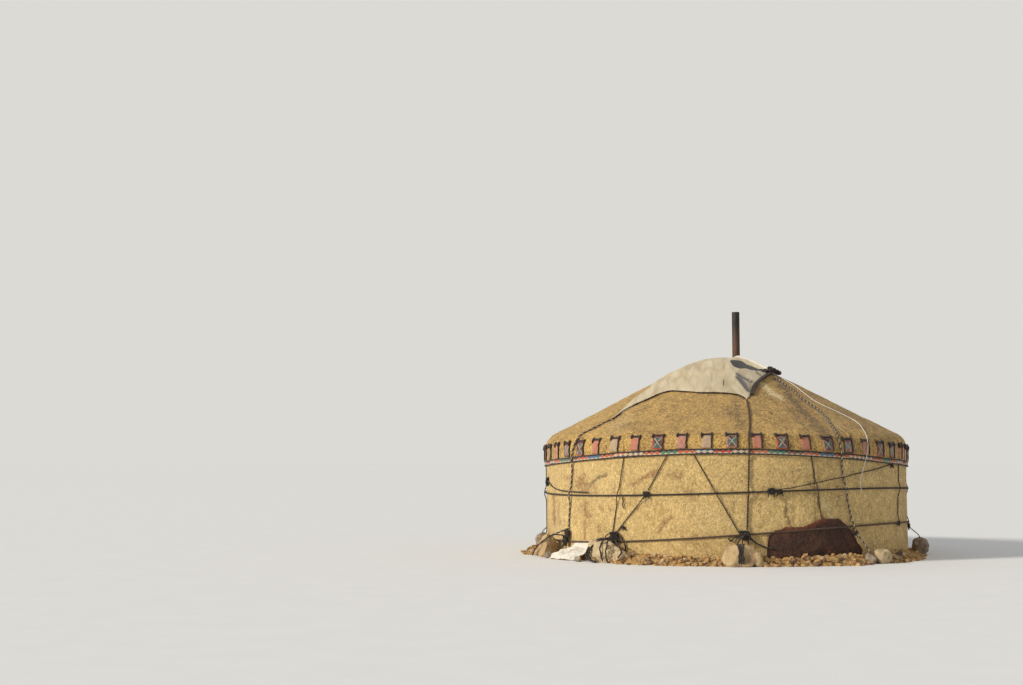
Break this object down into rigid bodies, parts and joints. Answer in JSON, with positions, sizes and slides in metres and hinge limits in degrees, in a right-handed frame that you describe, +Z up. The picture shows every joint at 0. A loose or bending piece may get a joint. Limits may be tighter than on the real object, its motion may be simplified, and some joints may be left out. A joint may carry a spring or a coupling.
{
  "type": "felt yurt",
  "caption": "Round felt tent on a wooden trellis with a domed crown ring, stove pipe, woven band and rope ties held by stones.",
  "frame": {"origin": "on the ground at the centre of the round room", "axes": "+Z up, +Y through the doorway, -Y towards the picture's camera, +X to the picture's right"},
  "size_m": [6.6923, 6.664, 4.09],
  "materials": {
    "lath_wood": "worn red-brown stain",
    "reed": "dry reed",
    "wall_felt": "coarse tan felt",
    "frame_wood": "weathered paint on wood",
    "pole_wood": "worn red-brown stain",
    "crown_wood": "worn red-brown stain",
    "pipe_steel": "sooty and rusted",
    "roof_felt": "coarse tan felt, speckled dark",
    "canvas": "off-white canvas",
    "woven_wool": "woven pattern of triangles",
    "panel_cloth": "faded patterned cloth",
    "dark_wool": "dark brown wool",
    "hair_rope": "twisted dark hair rope",
    "field_stone": "rough",
    "clods": "rough clods and stones",
    "white_cloth": "faded white cloth",
    "hide": "brown hide",
    "flap_felt": "rolled tan felt",
    "pale_cord": "off-white twisted cord"
  },
  "bodies": {
    "root": {"trellis_1": "lath_wood", "trellis_2": "lath_wood", "trellis_3": "lath_wood", "trellis_4": "lath_wood", "trellis_5": "lath_wood", "trellis_6": "lath_wood", "reed_screen": "reed", "wall_felt_right_back": "wall_felt", "wall_felt_right_front": "wall_felt", "wall_felt_front": "wall_felt", "wall_felt_left_back": "wall_felt", "door_jambs": "frame_wood", "door_threshold": "frame_wood", "door_lintel": "frame_wood", "roof_poles_front_right": "pole_wood", "roof_poles_back_right": "pole_wood", "roof_poles_back_left": "pole_wood", "roof_poles_front_left": "pole_wood", "crown_ring": "crown_wood", "crown_slats": "crown_wood", "stove_pipe": "pipe_steel", "roof_felt_front": "roof_felt", "roof_felt_right": "roof_felt", "roof_felt_back": "roof_felt", "roof_felt_left": "roof_felt", "crown_cover": "canvas", "woven_band": "woven_wool", "sewn_panels": "panel_cloth", "panel_rolls": "dark_wool", "girth_ropes": "hair_rope", "anchor_ropes": "hair_rope", "tie_ropes": "hair_rope", "anchor_stones": "field_stone", "foot_bank": "clods", "foot_cloth": "white_cloth", "cover_edging": "dark_wool", "foot_hide": "hide", "door_flap": "flap_felt", "flap_straps": "hair_rope", "pull_cord": "pale_cord"}
  },
  "joints": []
}
